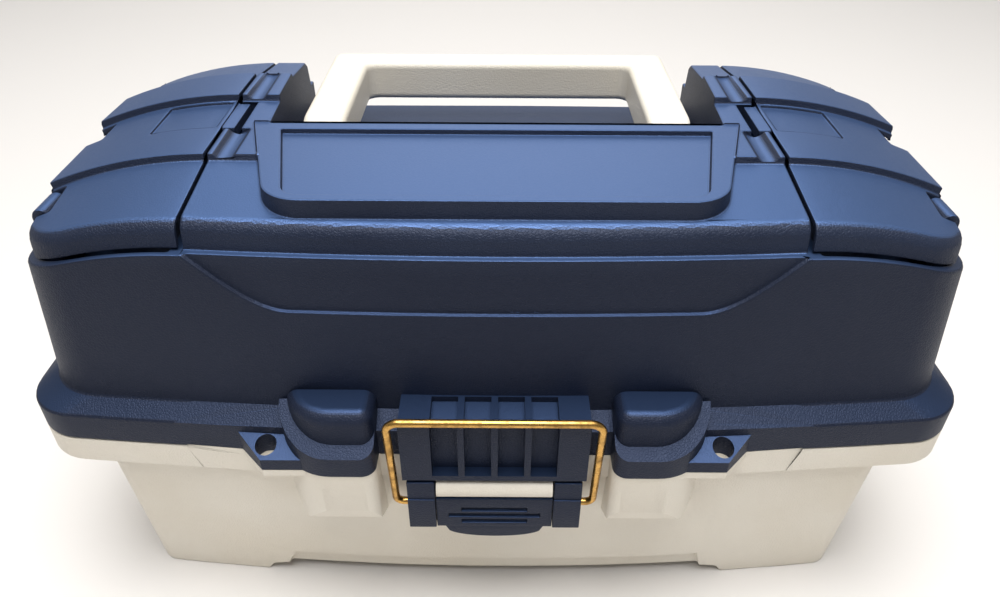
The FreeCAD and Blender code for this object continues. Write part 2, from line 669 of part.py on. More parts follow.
def catch():
    """Lid catch: end blocks, ribs and sloping floors, with windows in its front."""
    half, front, top, low = sized("catch_half", "catch_front", "catch_top", "catch_low")
    back = size("lid_top_front") + wall
    chamfer = front - size("catch_top") + size("catch_edge")
    outline = [(-back, top), (-chamfer - half_wall, top), (-front, size("catch_edge")), (-front, low),
               (-size("catch_back"), low), (-size("catch_back"), lid_base), (-rim[1] + half_wall, lid_base),
               (-rim[1] + half_wall, band_top - half_wall), (-back, lid_wall_base)]
    solid = side_profile(outline, -half, half)
    rib = size("catch_rib")
    inner = half - size("catch_block")
    cell = (2 * inner - 3 * rib) / 4
    for index in range(4):
        x0 = -inner + index * (cell + rib)
        solid = solid.cut(block(x0, x0 + cell, -front - overrun, -front + size("window_depth"),
                                low + wall, size("catch_edge") - wall))
        floor = [(-front - overrun, top - wall * 2), (-back - half_wall, top - wall),
                 (-back - half_wall, top + overrun), (-front - overrun, top + overrun)]
        solid = solid.cut(side_profile(floor, x0, x0 + cell))
    return solid


def lid_ears(side_y):
    """One hinge ear of an access lid, standing on the end wall."""
    y0, y1 = side_y
    x, z, ring = sized("snap_x", "snap_z", "snap_round")
    low = size("access_skirt") - size("ear_root")
    ear = round_bar(ring, V(x, y0, z), V(x, y1, z))
    stem = block(x - ring, x + ring, y0, y1, low, z)
    root = block(x, size("lid_top_half_width") - half_wall / 5, y0, y1, low, size("access_skirt") - wall)
    return [ear, stem, root]


ear_shares = (-1, -0.125, 0.875)
ear_spans = []
for share in ear_shares:
    ear_low = size("ear_front") * share
    ear_spans.append((ear_low, ear_low + size("ear_width")))


def lid_shell():
    # Flange, wall and crown
    band = prism(rim, 0, lid_base, band_top)
    shoulder = tapered(rim, lid_foot, 0, band_top, lid_wall_base)
    body = tapered(lid_foot, lid_top, 0, lid_wall_base, size("ledge_height"))
    skin = tapered(groove_outline, lid_top, -overrun, groove_z, size("ledge_height"))
    skin = skin.cut(tapered(groove_outline, lid_top, size("groove_step"), groove_z, size("ledge_height")))
    body = body.cut(skin.common(front_profile(groove_zone(), -rim[1] - overrun, -foot[1] / 2)))
    seam = size("seam_half") - size("seam_gap") / 2
    centre = crown(0).common(side_profile(under_top(0, groove_z), -seam, seam))
    centre = centre.makeFillet(size("crest_round"), crest_edges(centre, 0))
    half, front_half, front, rear = sized("frame_half", "frame_half_front", "frame_front", "plateau_rear")
    plateau = size("plateau_height")
    narrow = half - (half - front_half) * (size("step_front") - rear) / (front - rear)
    above = plan_profile([(-narrow, -size("step_front")), (narrow, -size("step_front")), (half, -rear), (-half, -rear)],
                         plateau, ceiling + overrun)
    centre = centre.cut(above)
    frame = rounded_panel(half, front_half, front, rear, size("frame_corner"), groove_z, plateau)
    solid = band.fuse([shoulder, body, centre, frame])
    tall = block(size("arch_start"), rim[0], -rim[1], rim[2], groove_z - size("ear_root"), ceiling)
    outside = tall.cut(ledge_drum(0)).cut(block(0, seam, -rim[1], rim[2], groove_z - size("ear_root"), ceiling))
    for shape in both_sides(outside):
        solid = solid.cut(shape)
    # Rooms inside
    roof = size("well_floor") - wall
    solid = solid.cut(prism(rim, wall, lid_base - overrun, band_top - half_wall))
    at_roof = between(lid_foot, lid_top, (roof - lid_wall_base) / (size("ledge_height") - lid_wall_base))
    solid = solid.cut(tapered(lid_foot, at_roof, wall, lid_wall_base - wall, roof))
    solid = solid.cut(prism(lid_foot, wall, band_top - wall, lid_wall_base - half_wall))
    centre_half = size("well_inner") - wall
    field_low = plateau - size("field_depth") - wall
    front_room = tapered(at_roof, crest, wall * 2, roof - half_wall, size("crest_height"))
    front_room = front_room.common(side_profile(under_top(wall * 2, roof - half_wall), -seam + wall, seam - wall))
    front_room = front_room.common(block(-centre_half, centre_half, -rim[1], -rear - wall, roof - wall, field_low))
    solid = solid.cut(front_room)
    rear_room = tapered(at_roof, crest, wall * 2, roof - half_wall, size("crest_height"))
    rear_room = rear_room.common(block(-seam + wall, seam - wall, -rear - wall - half_wall, rim[2],
                                       roof - wall, size("recess_floor") - wall))
    solid = solid.cut(rear_room)
    inner = size("recess_half") + size("recess_flare") + wall
    for shape in both_sides(block(inner, seam - wall, -size("step_front") + wall, size("crest_rear") - wall * 2,
                                  size("recess_floor") - wall * 2, size("deep_roof"))):
        solid = solid.cut(shape)
    # Handle recess, open to the rear
    flare = size("recess_flare")
    side = size("recess_half")
    plan = [(-side, -rear), (-side - flare / 2, rim[2] / 2), (-side - flare, rim[2]),
            (side + flare, rim[2]), (side + flare / 2, rim[2] / 2), (side, -rear)]
    solid = solid.cut(plan_profile(plan, size("recess_floor"), ceiling))
    # Low cheeks that carry the handle's studs
    cheek, cheek_rear = sized("cheek_half", "cheek_rear")
    fall_share = 0.45
    cheek_outline = [(-rear - wall, size("recess_floor") - wall), (-rear - wall, plateau - gap), (-rear, plateau - gap),
                     (cheek_rear, plateau - gap - (cheek_rear + rear) * fall_share),
                     (cheek_rear, size("recess_floor") - wall)]
    for shape in both_sides(side_profile(cheek_outline, cheek, side + flare)):
        solid = solid.fuse(shape)
    # Sunken label field
    field = rounded_panel(size("field_half"), size("field_half_front"), size("field_front"), size("field_rear"),
                          size("field_corner"), plateau - size("field_depth"), ceiling)
    solid = solid.cut(field)
    # Top compartments
    well = tapered(lid_foot, lid_top, wall, lid_wall_base, size("ledge_height"))
    well = well.common(block(size("well_inner"), rim[0], -rim[1], rim[2], size("well_floor"), ceiling))
    for shape in both_sides(well):
        solid = solid.cut(shape)
    # Finger gutters and the slots for the catches of the access lids
    slot_low = -size("slot_middle") - size("slot_half")
    slot_high = -size("slot_middle") + size("slot_half")
    axis_x = seam - size("gutter_radius") - half_wall
    for y0, y1, z in ((-size("step_front") - overrun, slot_low, size("step_high")),
                      (slot_high, size("band_rear"), size("band_high"))):
        height = z + size("gutter_radius") - size("gutter_depth")
        gutter = round_bar(size("gutter_radius"), V(axis_x, y0, height), V(axis_x, y1, height))
        for shape in both_sides(gutter):
            solid = solid.cut(shape)
    deep = size("band_low") - size("slot_depth")
    for shape in both_sides(block(seam - size("slot_width"), seam + overrun, slot_low, slot_high, deep, ceiling)):
        solid = solid.cut(shape)
    # Bosses, padlock tabs and catch
    upper, lower = lid_bosses()
    thick = lid_base + size("tab_thick")
    tab = plan_profile(tab_outline(), lid_base, thick + size("tab_rise"))
    slope = [(-size("tab_front") - half_wall, thick), (-rim[1] + size("front_bow") / 2, thick + size("tab_rise")),
             (-rim[1] + size("front_bow") / 2, ceiling), (-size("tab_front") - half_wall, ceiling)]
    tab = tab.cut(side_profile(slope, 0, rim[0]))
    parts = both_sides(upper) + both_sides(lower) + both_sides(tab) + [catch()]
    solid = solid.fuse(parts)
    for hole in both_sides(round_bar(size("padlock_hole"),
                                     V(size("padlock_x"), -size("padlock_y"), parting - overrun),
                                     V(size("padlock_x"), -size("padlock_y"), band_top + overrun))):
        solid = solid.cut(hole)
    # Hinge leaves, snap hinge bars and handle sockets
    for hinge_side in (1, -1):
        solid = solid.fuse(barrel(hinge_side, 1, parting, parting + size("hinge_barrel")))
        solid = solid.cut(pin_bore(hinge_side))
    ears = []
    for span in ear_spans:
        ears += lid_ears(span)
    ears.append(round_bar(size("snap_bar"), V(size("snap_x"), ear_spans[0][0], size("snap_z")),
                          V(size("snap_x"), ear_spans[2][1], size("snap_z"))))
    for ear in ears:
        solid = solid.fuse(both_sides(ear))
    pivot = V(0, size("handle_pivot_y"), size("handle_pivot_z"))
    reach = size("handle_half") + size("stud_length") + gap
    for shape in both_sides(round_bar(size("stud") + fit, pivot + V(cheek - overrun, 0, 0), pivot + V(reach, 0, 0))):
        solid = solid.cut(shape)
    return solid


def access_lid():
    """Right access lid: arched shell with hooks for the snap hinge and a catch tab."""
    reach = size("access_end") - size("arch_start")
    thick = size("access_wall")
    low = size("access_skirt") - overrun
    outer = arched(under_top(0, low - overrun), reach).common(crown(gap - size("groove_step")))
    outer = outer.makeFillet(size("crest_round"), crest_edges(outer, size("arch_start")))
    inner = arched(under_top(thick, low - overrun * 2), reach + thick).common(
        crown(gap - size("groove_step") + thick))
    shell = outer.cut(inner)
    seam = size("seam_half") + size("seam_gap") / 2
    shell = shell.cut(block(0, seam, -rim[1], rim[2], 0, ceiling))
    # The end wall is upright where the arch has run out
    shell = shell.cut(ledge_drum(size("access_gap")))
    shell = shell.cut(block(0, rim[0], -rim[1], rim[2], 0, size("access_skirt")))
    # Room for the ears and hooks around the bar between them
    x, z, ring = sized("snap_x", "snap_z", "snap_round")
    for y0, y1 in ear_spans:
        shell = shell.cut(block(x - ring - gap, rim[0], y0 - gap, y1 + gap, 0, ceiling))
    hooks = []
    for first, second in zip(ear_spans, ear_spans[1:]):
        y0 = first[1] + gap
        y1 = second[0] - gap
        shell = shell.cut(block(x, rim[0], y0 - half_wall, y1 + half_wall, 0, z))
        hooks.append(round_bar(ring, V(x, y0, z), V(x, y1, z)))
    shell = shell.fuse(hooks)
    bar = round_bar(size("snap_bar") + fit, V(x, ear_spans[0][0], z), V(x, ear_spans[2][1], z))
    shell = shell.cut(bar)
    # Catch tab over the slot, with a finger recess behind it
    slot_low = -size("slot_middle") - size("slot_half") + size("tab_play")
    slot_high = -size("slot_middle") + size("slot_half") - size("tab_play")
    tab_top = size("band_low") - thick / 4
    tab_x = seam - size("slot_width") + size("tab_inset")
    tab = block(tab_x, seam + thick, slot_low, slot_high, tab_top - thick, tab_top)
    leg = block(tab_x, tab_x + thick / 2, slot_low, slot_high, tab_top - thick * 2, tab_top)
    shell = shell.fuse([tab, leg])
    finger_depth = thick / 3
    finger_low = size("step_high") - finger_depth
    finger_rear = -size("band_front") - size("tab_inset")
    finger_share = 0.55
    finger = arched([(slot_low, finger_low), (finger_rear, finger_low), (finger_rear, ceiling), (slot_low, ceiling)],
                    (x - seam) * finger_share)
    finger = finger.cut(block(0, seam + thick, -rim[1], rim[2], 0, ceiling * 2))
    return shell.cut(finger)


# Sketched pieces
def origin_plane(body, role):
    """One of a body's own origin planes."""
    return [item for item in body.Origin.OriginFeatures if item.Role == role][0]


def loops_sketch(body, name, role, loops):
    """Sketch of closed loops whose corners are bound to pairs of formulas on the sheet."""
    sketch = body.newObject("Sketcher::SketchObject", name)
    sketch.AttachmentSupport = [(origin_plane(body, role), "")]
    sketch.MapMode = "FlatFace"
    first = 0
    for corners in loops:
        count = len(corners)
        guess = [V(first + math.cos(2 * math.pi * i / count), math.sin(2 * math.pi * i / count), 0)
                 for i in range(count)]
        for index in range(count):
            sketch.addGeometry(Part.LineSegment(guess[index], guess[(index + 1) % count]))
        for index in range(count):
            follower = first + (index + 1) % count
            sketch.addConstraint(Sketcher.Constraint("Coincident", first + index, 2, follower, 1))
        for index, pair in enumerate(corners):
            for kind, start, formula in zip(("DistanceX", "DistanceY"), guess[index][:2], pair):
                place = sketch.addConstraint(Sketcher.Constraint(kind, -1, 1, first + index, 1, start))
                sketch.setExpression(f"Constraints[{place}]", formula)
        first += count
    return sketch


def outline_sketch(body, name, role, corners):
    """Sketch of one closed loop."""
    return loops_sketch(body, name, role, [corners])


def circle_sketch(body, name, role, circles):
    """Sketch of circles, each a centre and a radius bound to formulas on the sheet."""
    sketch = body.newObject("Sketcher::SketchObject", name)
    sketch.AttachmentSupport = [(origin_plane(body, role), "")]
    sketch.MapMode = "FlatFace"
    for index, (across, up, radius) in enumerate(circles):
        sketch.addGeometry(Part.Circle(V(index + 1, index + 1, 0), Z_AXIS, 1))
        for kind, formula in (("DistanceX", across), ("DistanceY", up)):
            place = sketch.addConstraint(Sketcher.Constraint(kind, -1, 1, index, 3, index + 1))
            sketch.setExpression(f"Constraints[{place}]", formula)
        place = sketch.addConstraint(Sketcher.Constraint("Radius", index, 1))
        sketch.setExpression(f"Constraints[{place}]", f"{radius}")
    return sketch


def feature(body, kind, name, sketch, length, offset=None, midplane=False):
    """Pad or pocket of a sketch; offset moves the sketch along its normal."""
    if offset:
        sketch.setExpression("AttachmentOffset.Base.z", offset)
    item = body.newObject(kind, name)
    item.Profile = sketch
    item.setExpression("Length", length)
    item.Midplane = midplane
    doc.recompute()
    return item


def rounded(body, name, base, radius, choose):
    """Fillet on the edges of a feature that a test picks."""
    names = [f"Edge{i}" for i, edge in enumerate(base.Shape.Edges, start=1) if choose(edge.BoundBox)]
    item = body.newObject("PartDesign::Fillet", name)
    item.Base = (base, names)
    item.setExpression("Radius", radius)
    doc.recompute()
    return item


S = "Sizes."
TRAY_BASES = {
    "lower": f"{S}lower_tray_base",
    "upper": f"({S}lower_tray_base + {S}tray_height + {S}tray_gap)",
}
DIVIDER_SHARES = {"lower": (-0.55, 0.0, 0.55), "upper": (-0.34, 0.34)}
ARM_RISE = f"sin({S}arm_angle * 1 deg)"
ARM_RUN = f"cos({S}arm_angle * 1 deg)"


def tray(level):
    """Open tray with round corners; rivet holes in its ends and ribs for the dividers."""
    base = TRAY_BASES[level]
    body = doc.addObject("PartDesign::Body", f"{level.title()}Tray")
    half, front, rear, thick = f"{S}tray_half", f"{S}tray_front", f"{S}tray_rear", f"{S}tray_wall"
    outer = outline_sketch(body, "Outline", "XY_Plane", [
        (f"-{half}", f"-{front}"), (half, f"-{front}"), (half, rear), (f"-{half}", rear)])
    pad = feature(body, "PartDesign::Pad", "Block", outer, f"{S}tray_height", base)
    rounded(body, "Corners", pad, f"{S}tray_corner", lambda box: box.ZLength > size("tray_height") / 2)
    corner = f"{S}tray_corner / 2"
    right, left = f"{half} - {thick}", f"-{half} + {thick}"
    near, far = f"-{front} + {thick}", f"{rear} - {thick}"
    inner = outline_sketch(body, "Room", "XY_Plane", [
        (f"{left} + {corner}", near), (f"{right} - {corner}", near), (right, f"{near} + {corner}"),
        (right, f"{far} - {corner}"), (f"{right} - {corner}", far), (f"{left} + {corner}", far),
        (left, f"{far} - {corner}"), (left, f"{near} + {corner}")])
    inner.setExpression("AttachmentOffset.Base.z", f"{base} + {S}tray_height")
    feature(body, "PartDesign::Pocket", "Hollow", inner, f"{S}tray_height - {thick}")
    # Lengthwise wall and the ribs that hold the dividers
    middle = f"(({rear} - {front}) / 2)"
    wall_sketch = outline_sketch(body, "MiddleWall", "XY_Plane", [
        (f"-{half} + {thick} / 2", f"{middle} - {thick} / 2"), (f"{half} - {thick} / 2", f"{middle} - {thick} / 2"),
        (f"{half} - {thick} / 2", f"{middle} + {thick} / 2"), (f"-{half} + {thick} / 2", f"{middle} + {thick} / 2")])
    feature(body, "PartDesign::Pad", "MiddleWallPad", wall_sketch,
            f"{S}tray_height - {thick} * 2", f"{base} + {thick} / 2")
    ribs = []
    for share in DIVIDER_SHARES[level]:
        for side in (1, -1):
            near_x = f"{half} * {share} + {side} * ({S}divider / 2 + {S}divider_fit)"
            far_x = f"{near_x} + {side} * {S}divider_rib"
            ribs.append([(near_x, f"-{front} + {thick} / 2"), (far_x, f"-{front} + {thick} / 2"),
                         (far_x, f"{rear} - {thick} / 2"), (near_x, f"{rear} - {thick} / 2")])
    rib_sketch = loops_sketch(body, "DividerRibs", "XY_Plane", ribs)
    feature(body, "PartDesign::Pad", "DividerRibPads", rib_sketch,
            f"{S}divider_rib * 2 + {thick} / 2", f"{base} + {thick} / 2")
    holes = []
    arm = 1 if level == "lower" else 2
    for offset in ("0", f"{S}arm_offset"):
        along = f"{S}arm_base_y - {offset} - {S}arm_pitch * {arm} * {ARM_RUN}"
        up = f"{S}arm_base_z + {S}arm_pitch * {arm} * {ARM_RISE}"
        holes.append((along, up, f"{S}rivet"))
    hole_sketch = circle_sketch(body, "RivetHoles", "YZ_Plane", holes)
    feature(body, "PartDesign::Pocket", "RivetBores", hole_sketch, f"{half} * 2 + {S}overrun", None, True)
    keep(body, f"{level}_tray")


def dividers(level):
    """Removable cross dividers of a tray, two short walls on each side of its middle wall."""
    base, thick, play = TRAY_BASES[level], f"{S}tray_wall", f"{S}divider_fit"
    middle = f"(({S}tray_rear - {S}tray_front) / 2)"
    group = doc.addObject("Part::MultiFuse", f"{level.title()}Dividers")
    plates = []
    for index, share in enumerate(DIVIDER_SHARES[level]):
        for row in ("front", "rear"):
            plate = doc.addObject("Part::Box", f"{level.title()}Divider{row.title()}{index}")
            plate.setExpression("Length", f"{S}divider")
            plate.setExpression("Height", f"{S}tray_height - {thick} * 3")
            plate.setExpression("Placement.Base.x", f"{S}tray_half * {share} - {S}divider / 2")
            plate.setExpression("Placement.Base.z", f"{base} + {thick}")
            if row == "front":
                plate.setExpression("Width", f"{middle} + {S}tray_front - {thick} * 1.5 - {play} * 2")
                plate.setExpression("Placement.Base.y", f"-{S}tray_front + {thick} + {play}")
            else:
                plate.setExpression("Width", f"{S}tray_rear - {middle} - {thick} * 1.5 - {play} * 2")
                plate.setExpression("Placement.Base.y", f"{middle} + {thick} / 2 + {play}")
            plates.append(plate)
    group.Shapes = plates
    keep(group, f"{level}_tray_dividers")


def cantilever_arm(place, side, offset):
    """Pressed arm with three rivet holes: base, lower tray and upper tray."""
    body = doc.addObject("PartDesign::Body", f"{place.title()}Arm{side.title()}")
    points = []
    half, length = f"{S}arm_width / 2", f"{S}arm_pitch * 2"
    y0, z0 = f"({S}arm_base_y - {offset})", f"{S}arm_base_z"
    for along, across in (("0 - {h}", "0 - {h}"), ("{l} + {h}", "0 - {h}"), ("{l} + {h}", "{h}"), ("0 - {h}", "{h}")):
        a = along.format(h=f"({half})", l=length)
        b = across.format(h=f"({half})")
        points.append((f"{y0} - ({a}) * {ARM_RUN} + ({b}) * {ARM_RISE}",
                       f"{z0} + ({a}) * {ARM_RISE} + ({b}) * {ARM_RUN}"))
    outline = outline_sketch(body, "Outline", "YZ_Plane", points)
    sign = 1 if side == "right" else -1
    start = f"{S}tray_half + {S}arm_gap" if sign == 1 else f"-{S}tray_half - {S}arm_gap - {S}arm_thick"
    pad = feature(body, "PartDesign::Pad", "Strip", outline, f"{S}arm_thick", start)
    rounded(body, "Ends", pad, f"{S}arm_width / 2 - {S}side_gap / 4",
            lambda box: box.XLength > size("arm_thick") / 2 and box.YLength < size("arm_thick"))
    circles = []
    for count in range(3):
        circles.append((f"{y0} - {S}arm_pitch * {count} * {ARM_RUN}", f"{z0} + {S}arm_pitch * {count} * {ARM_RISE}",
                        f"{S}rivet + {S}running_fit"))
    holes = circle_sketch(body, "Holes", "YZ_Plane", circles)
    feature(body, "PartDesign::Pocket", "Bores", holes, f"{S}tray_half * 3", None, True)
    keep(body, f"{place}_arm_{side}")


def rivet_set(label, pivots, inner, outer):
    """Rivets across the arms, a head on the arm's outside and one at the other end."""
    solids = []
    radius, head, thick = sized("rivet", "rivet_head", "rivet_head_thick")
    for point in pivots:
        start, end = V(inner, point.y, point.z), V(outer, point.y, point.z)
        rivet = round_bar(radius, start, end)
        if inner < size("tray_half"):
            rivet = rivet.fuse([round_bar(head, start - V(thick, 0, 0), start),
                                round_bar(head, end, end + V(thick / 2, 0, 0))])
        else:
            rivet = rivet.fuse(round_bar(head, start - V(thick / 2, 0, 0), start))
        solids += both_sides(rivet.removeSplitter())
    keep_shape(label, Part.makeCompound(solids))


def hinge_pin(side_name, sign):
    """Steel pin through the knuckles of one hinge."""
    body = doc.addObject("PartDesign::Body", f"HingePin{side_name.title()}")
    sketch = circle_sketch(body, "Section", "YZ_Plane", [(f"{S}hinge_y", f"{S}parting_height", f"{S}hinge_pin")])
    length = f"({S}knuckle + {S}knuckle_gap) * 3"
    feature(body, "PartDesign::Pad", "Pin", sketch, length, f"{sign} * {S}hinge_x - {length} / 2")
    keep(body, f"hinge_pin_{side_name}")


def handle():
    """Folding handle: two arms and a rounded grip, with studs that turn in the lid."""
    body = doc.addObject("PartDesign::Body", "Handle")
    half, arm, rear = f"{S}handle_half", f"{S}handle_arm", f"{S}handle_rear"
    pivot_y, pivot_z, thick = f"{S}handle_pivot_y", f"{S}handle_pivot_z", f"{S}handle_thick"
    heel = f"({pivot_y} - {thick} / 2)"
    outer = outline_sketch(body, "Outline", "XY_Plane", [
        (f"-{half}", heel), (half, heel), (half, rear), (f"-{half}", rear)])
    pad = feature(body, "PartDesign::Pad", "Frame", outer, thick, f"{pivot_z} - {thick} / 2")
    opening = outline_sketch(body, "Opening", "XY_Plane", [
        (f"-{half} + {arm}", f"{heel} - {S}overrun"), (f"{half} - {arm}", f"{heel} - {S}overrun"),
        (f"{half} - {arm}", f"{rear} - {S}grip_depth"), (f"-{half} + {arm}", f"{rear} - {S}grip_depth")])
    opening.setExpression("AttachmentOffset.Base.z", f"{pivot_z} + {thick}")
    gap_cut = feature(body, "PartDesign::Pocket", "HandGap", opening, f"{thick} * 2")
    heel_y = size("handle_pivot_y") - size("handle_thick") / 2
    heels = rounded(body, "Heels", gap_cut, f"{thick} / 2 - {S}side_gap / 4",
                    lambda box: box.XLength > size("handle_arm") / 2 and box.YMax < heel_y + size("side_gap"))
    rear_y = size("handle_rear")
    corners = rounded(body, "Corners", heels, f"{S}handle_corner",
                      lambda box: box.ZLength > size("handle_thick") / 2 and box.YMin > size("handle_pivot_y") * 2)
    rounded(body, "Edges", corners, f"{S}handle_round",
            lambda box: box.ZLength < size("side_gap") and box.YMin > rear_y - size("grip_depth") * 1.2
            and box.XLength > size("handle_half"))
    studs = circle_sketch(body, "Studs", "YZ_Plane", [(pivot_y, pivot_z, f"{S}stud")])
    feature(body, "PartDesign::Pad", "RightStud", studs, f"{S}stud_length + {arm} / 2", f"{half} - {arm} / 2")
    studs_left = circle_sketch(body, "LeftStuds", "YZ_Plane", [(pivot_y, pivot_z, f"{S}stud")])
    feature(body, "PartDesign::Pad", "LeftStud", studs_left, f"{S}stud_length + {arm} / 2",
            f"-{half} - {S}stud_length")
    keep(body, "handle")


def latch_lever():
    """Lever of the latch: two arms, a grooved grip panel, a lip, and studs into the base's lug."""
    half, arm, front, low = sized("lever_half", "lever_arm", "lever_front", "lever_low")
    pivot = V(0, -size("lever_pivot_y"), size("lever_pivot_z"))
    ring = size("lug_round") + gap / 2
    panel = size("lever_panel")
    back = size("bail_pivot_y") - size("bail_wire") * 2
    heel_share = 1.6
    outline = [(-front, pivot.z + ring), (pivot.y, pivot.z + ring), (pivot.y + ring, pivot.z),
               (pivot.y + ring, pivot.z - ring), (-back, pivot.z - ring * heel_share), (-back, low), (-front, low)]
    arm_solid = side_profile(outline, half - arm, half)
    knuckle_solid = round_bar(ring, V(half - arm, pivot.y, pivot.z), V(half, pivot.y, pivot.z))
    arms = both_sides(arm_solid.fuse(knuckle_solid))
    inner = half - arm
    plate = block(-inner - half_wall, inner + half_wall, -front, -front + panel, low, size("lever_panel_top"))
    lip = plan_profile([(-inner + half_wall, -front), (inner - half_wall, -front),
                        (inner - half_wall, -front + panel), (-inner + half_wall, -front + panel)],
                       low - size("lip_drop"), low + half_wall)
    # The lip's lower edge is one long arc
    sag = size("lip_drop")
    lip_half = size("lip_half")
    arc_radius = (lip_half ** 2 + sag ** 2) / (2 * sag)
    round_edge = Part.makeCylinder(arc_radius, panel + 2 * overrun,
                                   V(0, -front - overrun, low - sag + arc_radius), Y_AXIS)
    lip = lip.common(round_edge)
    solid = plate.fuse(arms + [lip])
    # Three grooves under the fingers
    groove_shares = (0.42, 0.62, 0.42)
    pitch_share = 2.4
    groove = panel / 3
    for row, share in enumerate(groove_shares):
        z = size("lever_panel_top") - (row + 1) * groove * pitch_share - groove
        x = inner * share
        solid = solid.cut(block(-x, x, -front - overrun, -front + groove, z - groove / 2, z + groove / 2))
    stud_length = size("lever_stud_length") - gap
    for shape in both_sides(round_bar(size("lever_stud"), V(inner - gap - stud_length, pivot.y, pivot.z),
                                      V(inner + half_wall, pivot.y, pivot.z))):
        solid = solid.fuse(shape)
    hold = size("bail_hold") + gap
    bail = V(0, -size("bail_pivot_y"), size("bail_pivot_z"))
    for shape in both_sides(round_bar(size("bail_wire") + fit, V(half - hold, bail.y, bail.z),
                                      V(half + overrun, bail.y, bail.z))):
        solid = solid.cut(shape)
    keep_shape("latch_lever", solid.removeSplitter())


def latch_bail():
    """Wire bail: a bar, two legs and ends that turn in the lever's arms."""
    half, wire, bend = sized("bail_half", "bail_wire", "bail_bend")
    end_x = size("lever_half") - size("bail_hold")
    pivot = V(0, -size("bail_pivot_y"), size("bail_pivot_z"))
    bar = V(0, -size("bail_bar_y"), size("bail_bar_z"))
    corners = [V(-end_x, pivot.y, pivot.z), V(-half, pivot.y, pivot.z), V(-half, bar.y, bar.z),
               V(half, bar.y, bar.z), V(half, pivot.y, pivot.z), V(end_x, pivot.y, pivot.z)]
    bends = [0, wire * 2, bend, bend, wire * 2, 0]
    edges = []
    here = corners[0]
    for index in range(1, len(corners) - 1):
        before = (corners[index - 1] - corners[index]).normalize()
        after = (corners[index + 1] - corners[index]).normalize()
        radius = bends[index]
        start = corners[index] + before * radius
        stop = corners[index] + after * radius
        centre = start + after * radius
        middle = centre - (before + after).normalize() * radius
        edges.append(Part.LineSegment(here, start).toShape())
        edges.append(Part.Arc(start, middle, stop).toShape())
        here = stop
    edges.append(Part.LineSegment(here, corners[-1]).toShape())
    path = Part.Wire(edges)
    section = Part.Wire(Part.makeCircle(wire, corners[0], X_AXIS))
    keep_shape("latch_bail", path.makePipeShell([section], True, True))


keep_shape("base_tub", base_tub())
lid_solid = lid_shell()
lid_low = block(-rim[0], rim[0], -front_reach - overrun, rear_reach + overrun, 0, size("lid_split"))
keep_shape("lid_skirt", lid_solid.common(lid_low))
keep_shape("lid_shell", lid_solid.cut(lid_low))
right_lid = access_lid()
keep_shape("access_lid_right", right_lid)
keep_shape("access_lid_left", mirrored(right_lid))
handle()
latch_lever()
latch_bail()
for level_name in ("lower", "upper"):
    tray(level_name)
    dividers(level_name)
for side_name, side_sign in (("left", -1), ("right", 1)):
    cantilever_arm("rear", side_name, "0")
    cantilever_arm("front", side_name, f"{S}arm_offset")
    hinge_pin(side_name, side_sign)
tray_side = size("tray_half") - size("tray_wall")
for label, count in (("base_rivets", 0), ("lower_tray_rivets", 1), ("upper_tray_rivets", 2)):
    pivots = [rear_arm_pivots[count], front_arm_pivots[count]]
    if count:
        rivet_set(label, pivots, tray_side, arm_outer)
    else:
        rivet_set(label, pivots, arm_inner, arm_outer + arm_side_gap + rivet_grip)
doc.recompute()

for item in doc.Objects:
    if "Invalid" in item.State or "Error" in item.State:
        raise RuntimeError(f"{item.Label} failed: {item.State}")
for item in sub_parts:
    if item.Shape.isNull() or not item.Shape.isValid():
        raise RuntimeError(f"{item.Label} has no valid shape")
for item in sub_parts:
    item.Shape.exportStep(f"parts/{item.Label}.step")
    print(item.Label, len(item.Shape.Solids), round(item.Shape.Volume / 1000, 2))
print("sub-parts written:", len(sub_parts))
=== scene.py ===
# Tackle box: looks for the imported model
import json
import math
import bmesh
import bpy
from mathutils import Matrix, Vector


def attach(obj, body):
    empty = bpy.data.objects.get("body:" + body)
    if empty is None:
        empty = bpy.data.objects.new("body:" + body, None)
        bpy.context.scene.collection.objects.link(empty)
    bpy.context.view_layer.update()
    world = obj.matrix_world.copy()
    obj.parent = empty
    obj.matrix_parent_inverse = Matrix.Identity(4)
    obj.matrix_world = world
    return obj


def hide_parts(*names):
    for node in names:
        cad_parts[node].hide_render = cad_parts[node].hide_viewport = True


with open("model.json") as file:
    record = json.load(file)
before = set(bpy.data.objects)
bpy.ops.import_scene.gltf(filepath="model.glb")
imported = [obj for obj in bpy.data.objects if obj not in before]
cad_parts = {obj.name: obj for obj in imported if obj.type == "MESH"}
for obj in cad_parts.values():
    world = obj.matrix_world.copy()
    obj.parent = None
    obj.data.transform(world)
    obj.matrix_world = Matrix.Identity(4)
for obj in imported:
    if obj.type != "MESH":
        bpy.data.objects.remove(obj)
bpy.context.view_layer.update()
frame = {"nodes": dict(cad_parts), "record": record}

record = frame["record"]
bodyOf = {node: body for body, members in record["behaviour"]["bodies"].items() for node in members}
slotOf = {item["node"]: item["material_slot"] for item in record["subparts"]}

